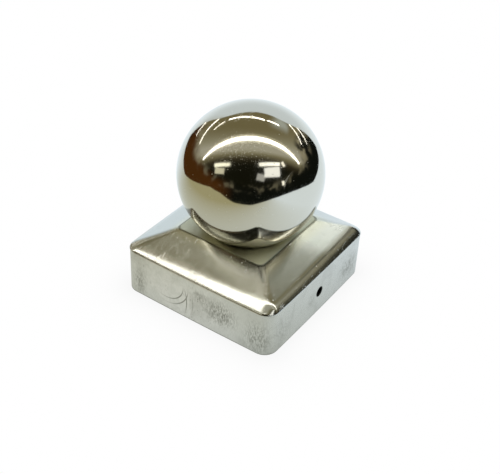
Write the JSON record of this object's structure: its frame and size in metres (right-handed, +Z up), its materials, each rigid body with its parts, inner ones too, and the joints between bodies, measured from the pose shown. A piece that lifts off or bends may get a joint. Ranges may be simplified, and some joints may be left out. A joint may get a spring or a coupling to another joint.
{
  "type": "ball post cap",
  "caption": "Square pressed steel cap that slips over the top of a square post, with nail holes in opposite walls and a polished ball standing on its flat top.",
  "frame": {"origin": "middle of the cap's open underside, on the plane of its rim", "axes": "+Z up through the middle of the ball; X and Y square to the walls, with the nail holes in the two walls that face along X"},
  "size_m": [0.074, 0.074, 0.0835],
  "materials": {
    "pressed_steel": "satin, handled, with faint smudges and scratches",
    "polished_steel": "mirror polished, slightly warm"
  },
  "bodies": {
    "root": {"square_cap": "pressed_steel", "ball": "polished_steel"}
  },
  "joints": []
}
